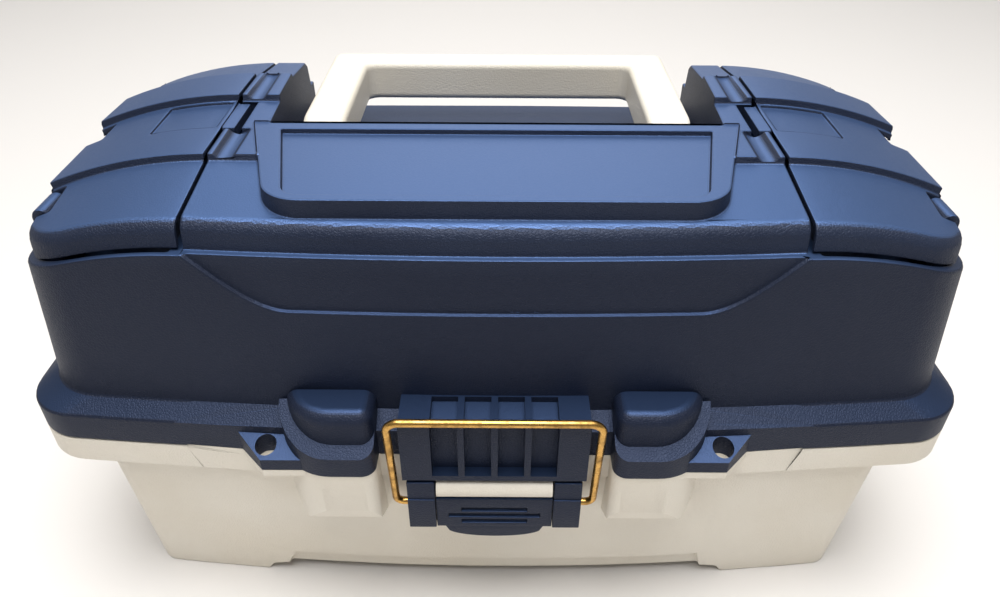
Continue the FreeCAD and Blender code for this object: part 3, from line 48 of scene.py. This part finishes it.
camera = {
    "place": (0.00178, -0.29640, 0.31361),
    "pitch": 35.963,
    "yaw": 0.023,
    "roll": -0.333,
    "lens": 27.93,
}
navy = {
    "wall": (0.008, 0.013, 0.032),
    # painted sheen: "top" is a bright colour painted on up-facing navy, standing in for light and
    # backdrop reflection on the tops
    "top": (0.082, 0.150, 0.330),
    "topFrom": (0.78, 0.99),        # upward part of the normal, wall to top; over this range the painted sheen colour comes in
    "topMetal": 0.80,
    "wallMetal": 0.25,
    "topRough": 0.42,
    "wallRough": 0.50,
    "specular": 0.3,
    "cloud": (0.10, 0.14, 0.24),
    "cloudShare": 0.16,
    "cloudScale": 18.0,
    "paintedShadeFrom": (0.166, 0.176),     # heights between which painted shade of the recess comes in; navy lower down is darkened too
    "paintedShadeShare": 0.7,
    "speckleScale": 900.0,
    "speckleRough": 0.10,
    "grain": 0.0011,
    "grainDepth": 0.00010,
    "grainLostOnTop": 0.82,
}
offWhite = {
    "colour": (0.72, 0.665, 0.565),
    "bright": (0.80, 0.765, 0.69),
    "rough": 0.48,
    "cloudScale": 14.0,
    "grain": 0.0012,
    "grainDepth": 0.00007,
}
brass = {
    "colour": (0.62, 0.36, 0.10),
    "dark": (0.20, 0.11, 0.035),
    "rough": 0.26,
    "patinaRough": 0.25,
    "patinaScale": 160.0,
    "grainScale": 700.0,
    "grainDepth": 0.00004,
}
steel = {
    "colour": (0.56, 0.56, 0.55),
    "rough": 0.32,
    "spangleScale": 260.0,
    "spangleShare": 0.08,
    "cloudScale": 90.0,
}
grey = {"colour": (0.52, 0.53, 0.545), "rough": 0.42, "grain": 0.0009}
clear = {"colour": (0.66, 0.71, 0.76), "rough": 0.22, "grain": 0.0016}
stage = {
    "colour": (0.74, 0.715, 0.69),
    "rough": 0.9,
    "front": 2.4,
    "back": 1.5,
    "rise": 2.4,
    "turn": 0.45,                   # radius between floor and backdrop
    "half": 3.2,
    "steps": 12,
}
lights = {
    "worldFront": 0.32,
    "worldBack": 0.55,
    "worldShare": 0.75,
    "worldColour": (1.0, 0.985, 0.96),
    "key": (34.0, (0.0, -0.25, 1.5), 1.3),      # power, place, size
    "back": (6.0, (0.0, 1.4, 1.2), 1.6),
}


# Numbers and colours of a shader graph, with Python operators
class Value:
    def __init__(self, tree, socket):
        self.tree = tree
        self.socket = socket

    def math(self, operation, *others):
        node = self.tree.nodes.new("ShaderNodeMath")
        node.operation = operation
        for index, item in enumerate((self,) + others):
            plug(self.tree, node.inputs[index], item)
        return Value(self.tree, node.outputs[0])

    def __add__(self, other):
        return self.math("ADD", other)

    def __sub__(self, other):
        return self.math("SUBTRACT", other)

    def __mul__(self, other):
        return self.math("MULTIPLY", other)

    def __rsub__(self, other):
        return self * -1.0 + other

    __radd__ = __add__
    __rmul__ = __mul__

    def step(self, low, high, toLow=0.0, toHigh=1.0):
        node = self.tree.nodes.new("ShaderNodeMapRange")
        node.interpolation_type = "SMOOTHSTEP"
        plug(self.tree, node.inputs["Value"], self)
        for name, item in (("From Min", low), ("From Max", high), ("To Min", toLow), ("To Max", toHigh)):
            plug(self.tree, node.inputs[name], item)
        return Value(self.tree, node.outputs["Result"])


def plug(tree, socket, item):
    if isinstance(item, Value):
        tree.links.new(item.socket, socket)
    elif socket.type == "RGBA" and len(item) == 3:
        socket.default_value = (*item, 1.0)
    else:
        socket.default_value = item


def newMaterial(name):
    material = bpy.data.materials.new(name)
    material.use_nodes = True
    tree = material.node_tree
    shader = tree.nodes["Principled BSDF"]
    return material, tree, shader


def node(tree, kind, output=0, settings=None, **inputs):
    made = tree.nodes.new(kind)
    for key, item in (settings or {}).items():
        setattr(made, key, item)
    for key, item in inputs.items():
        plug(tree, made.inputs[key.replace("_", " ")], item)
    return Value(tree, made.outputs[output])


def objectPlace(tree):
    return node(tree, "ShaderNodeTexCoord", "Object")


def parted(tree, vector):
    parts = tree.nodes.new("ShaderNodeSeparateXYZ")
    tree.links.new(vector.socket, parts.inputs[0])
    return parts


def upness(tree):
    normal = node(tree, "ShaderNodeNewGeometry", "True Normal")
    return Value(tree, parted(tree, normal).outputs[2])


def mixed(tree, share, first, second):
    made = tree.nodes.new("ShaderNodeMix")
    made.data_type = "RGBA"
    plug(tree, made.inputs[0], share)
    plug(tree, made.inputs[6], first)
    plug(tree, made.inputs[7], second)
    return Value(tree, made.outputs[2])


def noise(tree, place, scale, detail=2.0, rough=0.5, output="Fac"):
    return node(tree, "ShaderNodeTexNoise", output,
                Vector=place, Scale=scale, Detail=detail, Roughness=rough)


# Pebbled grain: cells of one size on a wobbled place, and a finer noise over them
def leather(tree, place, size):
    wobble = noise(tree, place, 0.6 / size, 1.0, output="Color")
    made = tree.nodes.new("ShaderNodeMix")
    made.data_type = "VECTOR"
    made.inputs[0].default_value = size * 0.35
    tree.links.new(place.socket, made.inputs[4])
    tree.links.new(wobble.socket, made.inputs[5])
    moved = Value(tree, made.outputs[1])
    cells = node(tree, "ShaderNodeTexVoronoi", "Distance", {"feature": "DISTANCE_TO_EDGE"},
                 Vector=moved, Scale=1.0 / size)
    pebbles = cells.step(0.0, 0.22)
    fine = noise(tree, place, 2.2 / size, 2.0)
    return pebbles * 0.7 + fine * 0.5


def bumped(tree, shader, height, depth, strength=1.0):
    made = node(tree, "ShaderNodeBump", 0, Height=height, Distance=depth, Strength=strength)
    tree.links.new(made.socket, shader.inputs["Normal"])


def navyPlastic():
    material, tree, shader = newMaterial("navyPlastic")
    place = objectPlace(tree)
    up = upness(tree).step(*navy["topFrom"])
    cloud = noise(tree, place, navy["cloudScale"], 3.0)
    # painted sheen: up-facing surfaces take the bright top colour in place of the navy wall colour
    tone = mixed(tree, up, navy["wall"], navy["top"])
    tone = mixed(tree, cloud * navy["cloudShare"], tone, navy["cloud"])
    # painted shade: below these heights the navy colour is mixed toward the dark wall colour, shade of
    # the recess painted in
    height = Value(tree, parted(tree, place).outputs[2])
    sunk = height.step(*navy["paintedShadeFrom"], 1.0, 0.0)
    tone = mixed(tree, sunk * navy["paintedShadeShare"], tone, navy["wall"])
    plug(tree, shader.inputs["Base Color"], tone)
    metal = up * (navy["topMetal"] - navy["wallMetal"]) + navy["wallMetal"]
    plug(tree, shader.inputs["Metallic"], metal)
    speckle = noise(tree, place, navy["speckleScale"], 1.0)
    rough = up * (navy["topRough"] - navy["wallRough"]) + navy["wallRough"]
    rough = rough + speckle * navy["speckleRough"] - navy["speckleRough"] / 2
    plug(tree, shader.inputs["Roughness"], rough)
    grain = leather(tree, place, navy["grain"])
    smooth = 1.0 - up * navy["grainLostOnTop"]
    shader.inputs["Specular IOR Level"].default_value = navy["specular"]
    bumped(tree, shader, grain * smooth, navy["grainDepth"])
    return material


def whitePlastic():
    material, tree, shader = newMaterial("offWhitePlastic")
    place = objectPlace(tree)
    cloud = noise(tree, place, offWhite["cloudScale"], 3.0)
    tone = mixed(tree, cloud.step(0.35, 0.7) * 0.5, offWhite["colour"], offWhite["bright"])
    plug(tree, shader.inputs["Base Color"], tone)
    plug(tree, shader.inputs["Roughness"], cloud * 0.12 + (offWhite["rough"] - 0.06))
    bumped(tree, shader, leather(tree, place, offWhite["grain"]), offWhite["grainDepth"])
    return material


def brassWire():
    material, tree, shader = newMaterial("brassWire")
    place = objectPlace(tree)
    patina = noise(tree, place, brass["patinaScale"], 4.0, 0.7).step(0.42, 0.72)
    plug(tree, shader.inputs["Base Color"], mixed(tree, patina * 0.8, brass["colour"], brass["dark"]))
    shader.inputs["Metallic"].default_value = 1.0
    plug(tree, shader.inputs["Roughness"], patina * brass["patinaRough"] + brass["rough"])
    bumped(tree, shader, noise(tree, place, brass["grainScale"], 2.0), brass["grainDepth"])
    return material


def steelPlate():
    material, tree, shader = newMaterial("zincSteel")
    place = objectPlace(tree)
    spangle = node(tree, "ShaderNodeTexVoronoi", "Color", Vector=place, Scale=steel["spangleScale"])
    tone = mixed(tree, steel["spangleShare"], steel["colour"], spangle)
    plug(tree, shader.inputs["Base Color"], tone)
    shader.inputs["Metallic"].default_value = 1.0
    cloud = noise(tree, place, steel["cloudScale"], 3.0)
    plug(tree, shader.inputs["Roughness"], cloud * 0.2 + (steel["rough"] - 0.1))
    return material


def trayPlastic(name, look):
    material, tree, shader = newMaterial(name)
    place = objectPlace(tree)
    cloud = noise(tree, place, 22.0, 3.0)
    tone = tuple(item * 1.12 for item in look["colour"])
    plug(tree, shader.inputs["Base Color"], mixed(tree, cloud, look["colour"], tone))
    plug(tree, shader.inputs["Roughness"], cloud * 0.14 + (look["rough"] - 0.07))
    bumped(tree, shader, noise(tree, place, 1.0 / look["grain"], 3.0), 0.00004)
    return material


materials = {
    "navy_plastic": navyPlastic(),
    "offwhite_plastic": whitePlastic(),
    "brass_wire": brassWire(),
    "steel": steelPlate(),
    "grey_plastic": trayPlastic("greyPlastic", grey),
    "clear_plastic": trayPlastic("clearPlastic", clear),
}
for name, item in frame["nodes"].items():
    item.data.materials.clear()
    item.data.materials.append(materials[slotOf[name]])
print("stage materials")


mouldings = {
    "lidWidth": 0.0008,
    "baseWidth": 0.0009,
    "accessLidWidth": 0.0007,
    "lidJoint": 0.1375,             # height at which the CAD lid is divided
    "segments": 2,
    "sharpFrom": 28.0,              # degrees: edges that get a rounding
    "shadeFrom": 32.0,              # degrees: edges that stay sharp in shading
    "flatWithin": 0.6,              # degrees: facets merged into one
    "merge": 0.000004,
    "jointMerge": 0.00001,
    "normalWeight": 60,
    "latch": {"reach": 0.112, "front": -0.082, "top": 0.124},
    "wells": {"reach": 0.150, "depth": 0.075, "low": 0.100, "high": 0.150},
}


# CAD nodes of one moulding, joined, with their sharp edges rounded off
def softened(names, width, joint=None):
    first = names[0]
    mesh = frame["nodes"][first].data.copy()
    made = bmesh.new()
    for name in names:
        made.from_mesh(frame["nodes"][name].data)
    bmesh.ops.remove_doubles(made, verts=made.verts, dist=mouldings["merge"])
    if joint:
        near = mouldings["jointMerge"]
        inner = [face for face in made.faces
                 if abs(face.normal.z) > 0.99 and abs(face.calc_center_median().z - joint) < near]
        bmesh.ops.delete(made, geom=inner, context="FACES")
        bmesh.ops.remove_doubles(made, verts=made.verts, dist=near)
    flat = math.radians(mouldings["flatWithin"])
    bmesh.ops.dissolve_limit(made, angle_limit=flat, verts=made.verts, edges=made.edges)
    made.to_mesh(mesh)
    made.free()
    if "custom_normal" in mesh.attributes:
        mesh.attributes.remove(mesh.attributes["custom_normal"])
    piece = bpy.data.objects.new(first + "_soft", mesh)
    bpy.context.scene.collection.objects.link(piece)
    for fine in (False, True):
        marked(piece.data, fine)
        bevel = piece.modifiers.new("bevel", "BEVEL")
        bevel.width = width
        bevel.segments = mouldings["segments"]
        bevel.limit_method = "WEIGHT"
        bevel.use_clamp_overlap = fine
        bevel.miter_outer = "MITER_ARC"
        applied(piece)
    for face in piece.data.polygons:
        face.use_smooth = True
    piece.data.set_sharp_from_angle(angle=math.radians(mouldings["shadeFrom"]))
    weighted = piece.modifiers.new("weighted", "WEIGHTED_NORMAL")
    weighted.keep_sharp = True
    weighted.weight = mouldings["normalWeight"]
    applied(piece)
    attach(piece, bodyOf[first])
    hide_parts(*names)
    print("softened", names, len(piece.data.polygons))


# Which sharp edges are rounded: the wide ones, or the fine ones of the latch and its bosses.
# Edges in the wells of the lid stay as they are.
def marked(mesh, fine):
    latch, wells = mouldings["latch"], mouldings["wells"]
    made = bmesh.new()
    made.from_mesh(mesh)
    layers = made.edges.layers.float
    layer = layers.get("bevel_weight_edge") or layers.new("bevel_weight_edge")
    limit = math.radians(mouldings["sharpFrom"])
    for edge in made.edges:
        sharp = len(edge.link_faces) == 2 and edge.calc_face_angle(0.0) > limit
        x, y, z = (edge.verts[0].co + edge.verts[1].co) / 2
        crowded = abs(x) < latch["reach"] and y < latch["front"] and z < latch["top"]
        inside = wells["low"] < z < wells["high"] and abs(x) < wells["reach"] and abs(y) < wells["depth"]
        edge[layer] = 1.0 if sharp and crowded == fine and not inside else 0.0
    made.to_mesh(mesh)
    made.free()


# The modifiers' result as a plain mesh
def applied(piece):
    graph = bpy.context.evaluated_depsgraph_get()
    mesh = bpy.data.meshes.new_from_object(piece.evaluated_get(graph))
    piece.modifiers.clear()
    old = piece.data
    piece.data = mesh
    bpy.data.meshes.remove(old)


softened(["lid_shell", "lid_skirt"], mouldings["lidWidth"], mouldings["lidJoint"])
softened(["base_tub"], mouldings["baseWidth"])
softened(["access_lid_left"], mouldings["accessLidWidth"])
softened(["access_lid_right"], mouldings["accessLidWidth"])
print("stage softened")


# Front relief: a slab whose front steps back by depth(x, z) over a grid of cells
def relief(made, xs, zs, front, back, depth):
    columns, rows = len(xs) - 1, len(zs) - 1
    face = {}
    for i in range(columns):
        for j in range(rows):
            face[i, j] = front + depth((xs[i] + xs[i + 1]) / 2, (zs[j] + zs[j + 1]) / 2)

    def quad(*corners):
        made.faces.new([made.verts.new(corner) for corner in corners])

    for (i, j), y in face.items():
        x0, x1, z0, z1 = xs[i], xs[i + 1], zs[j], zs[j + 1]
        quad((x0, y, z0), (x1, y, z0), (x1, y, z1), (x0, y, z1))
        quad((x0, back, z1), (x1, back, z1), (x1, back, z0), (x0, back, z0))
        right = face.get((i + 1, j), back)
        above = face.get((i, j + 1), back)
        if right != y:
            quad((x1, y, z0), (x1, right, z0), (x1, right, z1), (x1, y, z1))
        if above != y:
            quad((x0, y, z1), (x1, y, z1), (x1, above, z1), (x0, above, z1))
        if i == 0:
            quad((x0, back, z0), (x0, y, z0), (x0, y, z1), (x0, back, z1))
        if j == 0:
            quad((x0, back, z0), (x1, back, z0), (x1, y, z0), (x0, y, z0))


# Arched tongue under the lever: flat on top, hanging by sag in the middle
def arcPlate(made, half, high, sag, front, back, steps=24):
    rim = []
    for step in range(steps + 1):
        x = half * (1 - 2 * step / steps)
        rim.append((x, high - sag * math.sqrt(max(0.0, 1 - (x / half) ** 2)) ** 0.75))
    rings = [[made.verts.new((x, y, z)) for x, z in rim] for y in (front, back)]
    made.faces.new(rings[0][::-1])
    made.faces.new(rings[1])
    for index in range(len(rings[0])):
        after = (index + 1) % len(rings[0])
        made.faces.new((rings[0][index], rings[0][after], rings[1][after], rings[1][index]))


lever = {
    "half": 0.0332,
    "inner": 0.0224,
    "seam": 0.0003,                 # gap between the panel and each side
    "low": 0.0612,
    "high": 0.0862,
    "panelTop": 0.0772,
    "panelStep": 0.0006,
    "front": -0.1021,
    "back": -0.0944,
    "panelBack": -0.0984,
    "grooves": ((0.0712, 0.0128), (0.0678, 0.0178), (0.0644, 0.0128)),  # height, half length
    "grooveHigh": 0.0011,
    "grooveDeep": 0.0018,
    "tongueHalf": 0.0194,
    "tongueLift": 0.0002,
    "tongueSag": 0.0066,
    "tongueStep": 0.0008,
    "round": 0.00045,
    "roundSegments": 3,
    "shadeFrom": 35.0,
}


# Lever's front: two sides, a panel between them with grooves for the grip, and the tongue
def latchLever():
    made = bmesh.new()
    half, inner, low = lever["half"], lever["inner"], lever["low"]
    for side in (-1, 1):
        xs = sorted((side * half, side * (inner + lever["seam"])))
        relief(made, xs, [low, lever["panelTop"], lever["high"]], lever["front"], lever["back"],
               lambda x, z: 0.0 if z < lever["panelTop"] else lever["panelStep"])
    spans = sorted({side * reach for z, reach in lever["grooves"] for side in (-1, 1)})
    xs = [-inner] + spans + [inner]
    zs = [low]
    for z, reach in lever["grooves"][::-1]:
        zs += [z - lever["grooveHigh"], z + lever["grooveHigh"]]
    zs.append(lever["panelTop"])

    def sunk(x, z):
        for middle, reach in lever["grooves"]:
            if abs(z - middle) < lever["grooveHigh"] and abs(x) < reach:
                return lever["grooveDeep"]
        return lever["panelStep"]

    relief(made, xs, zs, lever["front"], lever["panelBack"], sunk)
    arcPlate(made, lever["tongueHalf"], low + lever["tongueLift"], lever["tongueSag"],
             lever["front"] + lever["tongueStep"], lever["panelBack"])
    bmesh.ops.remove_doubles(made, verts=made.verts, dist=0.000001)
    bmesh.ops.recalc_face_normals(made, faces=made.faces)
    mesh = bpy.data.meshes.new("leverFront")
    made.to_mesh(mesh)
    made.free()
    mesh.materials.append(materials["navy_plastic"])
    piece = bpy.data.objects.new("leverFront", mesh)
    bpy.context.scene.collection.objects.link(piece)
    bevel = piece.modifiers.new("bevel", "BEVEL")
    bevel.width = lever["round"]
    bevel.segments = lever["roundSegments"]
    bevel.limit_method = "ANGLE"
    bevel.use_clamp_overlap = True
    applied(piece)
    for face in piece.data.polygons:
        face.use_smooth = True
    piece.data.set_sharp_from_angle(angle=math.radians(lever["shadeFrom"]))
    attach(piece, bodyOf["latch_lever"])
    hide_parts("latch_lever")


latchLever()
print("stage latch")


# Floor and backdrop
def stagePlane():
    back, turn = stage["back"], stage["turn"]
    profile = [(-stage["front"], 0.0)]
    for index in range(stage["steps"] + 1):
        angle = math.radians(90.0 * index / stage["steps"])
        profile.append((back + turn * math.sin(angle), turn * (1 - math.cos(angle))))
    profile.append((back + turn, stage["rise"]))
    made = bmesh.new()
    rows = [[made.verts.new((x, y, z)) for y, z in profile] for x in (-stage["half"], stage["half"])]
    for index in range(len(profile) - 1):
        face = made.faces.new((rows[0][index], rows[1][index], rows[1][index + 1], rows[0][index + 1]))
        face.smooth = True
    mesh = bpy.data.meshes.new("floor")
    made.to_mesh(mesh)
    made.free()
    item = bpy.data.objects.new("floor", mesh)
    bpy.context.scene.collection.objects.link(item)
    material, tree, shader = newMaterial("paleFloor")
    place = objectPlace(tree)
    tone = tuple(part * 0.97 for part in stage["colour"])
    tone = mixed(tree, noise(tree, place, 1.5, 2.0), stage["colour"], tone)
    plug(tree, shader.inputs["Base Color"], tone)
    shader.inputs["Roughness"].default_value = stage["rough"]
    mesh.materials.append(material)


stagePlane()


def areaLight(name, power, place, size, target=(0.0, 0.0, 0.1)):
    data = bpy.data.lights.new(name, "AREA")
    data.shape = "DISK"
    data.size = size
    data.energy = power
    item = bpy.data.objects.new(name, data)
    bpy.context.scene.collection.objects.link(item)
    item.location = place
    item.rotation_mode = "QUATERNION"
    item.rotation_quaternion = (Vector(target) - Vector(place)).to_track_quat("-Z", "Y")


areaLight("keyLight", *lights["key"])
areaLight("backLight", *lights["back"])


# Soft light from all round, stronger at the back, and plain white where the camera sees it
def softWorld():
    world = bpy.data.worlds.new("studio")
    bpy.context.scene.world = world
    world.use_nodes = True
    tree = world.node_tree
    tree.nodes.clear()
    direction = node(tree, "ShaderNodeTexCoord", "Generated")
    parts = tree.nodes.new("ShaderNodeSeparateXYZ")
    tree.links.new(direction.socket, parts.inputs[0])
    depth = Value(tree, parts.outputs[1])
    level = depth.step(-0.5, 0.6, lights["worldFront"], lights["worldBack"])
    background = tree.nodes.new("ShaderNodeBackground")
    plug(tree, background.inputs["Color"], lights["worldColour"])
    plug(tree, background.inputs["Strength"], level * lights["worldShare"])
    plain = tree.nodes.new("ShaderNodeBackground")
    plain.inputs["Color"].default_value = (1.0, 1.0, 1.0, 1.0)
    ray = tree.nodes.new("ShaderNodeLightPath")
    choose = tree.nodes.new("ShaderNodeMixShader")
    tree.links.new(ray.outputs["Is Camera Ray"], choose.inputs[0])
    tree.links.new(background.outputs[0], choose.inputs[1])
    tree.links.new(plain.outputs[0], choose.inputs[2])
    output = tree.nodes.new("ShaderNodeOutputWorld")
    tree.links.new(choose.outputs[0], output.inputs["Surface"])


softWorld()


def placeCamera():
    data = bpy.data.cameras.new("photoCamera")
    data.lens = camera["lens"]
    data.sensor_width = 36.0
    item = bpy.data.objects.new("photoCamera", data)
    bpy.context.scene.collection.objects.link(item)
    item.location = camera["place"]
    turn = Matrix.Rotation(math.radians(camera["yaw"]), 4, "Z")
    tilt = Matrix.Rotation(math.radians(90.0 - camera["pitch"]), 4, "X")
    roll = Matrix.Rotation(math.radians(-camera["roll"]), 4, "Z")
    item.rotation_mode = "QUATERNION"
    item.rotation_quaternion = (turn @ tilt @ roll).to_quaternion()
    bpy.context.scene.camera = item


placeCamera()
bpy.context.scene.view_settings.view_transform = "Standard"
print("stage lights and camera")
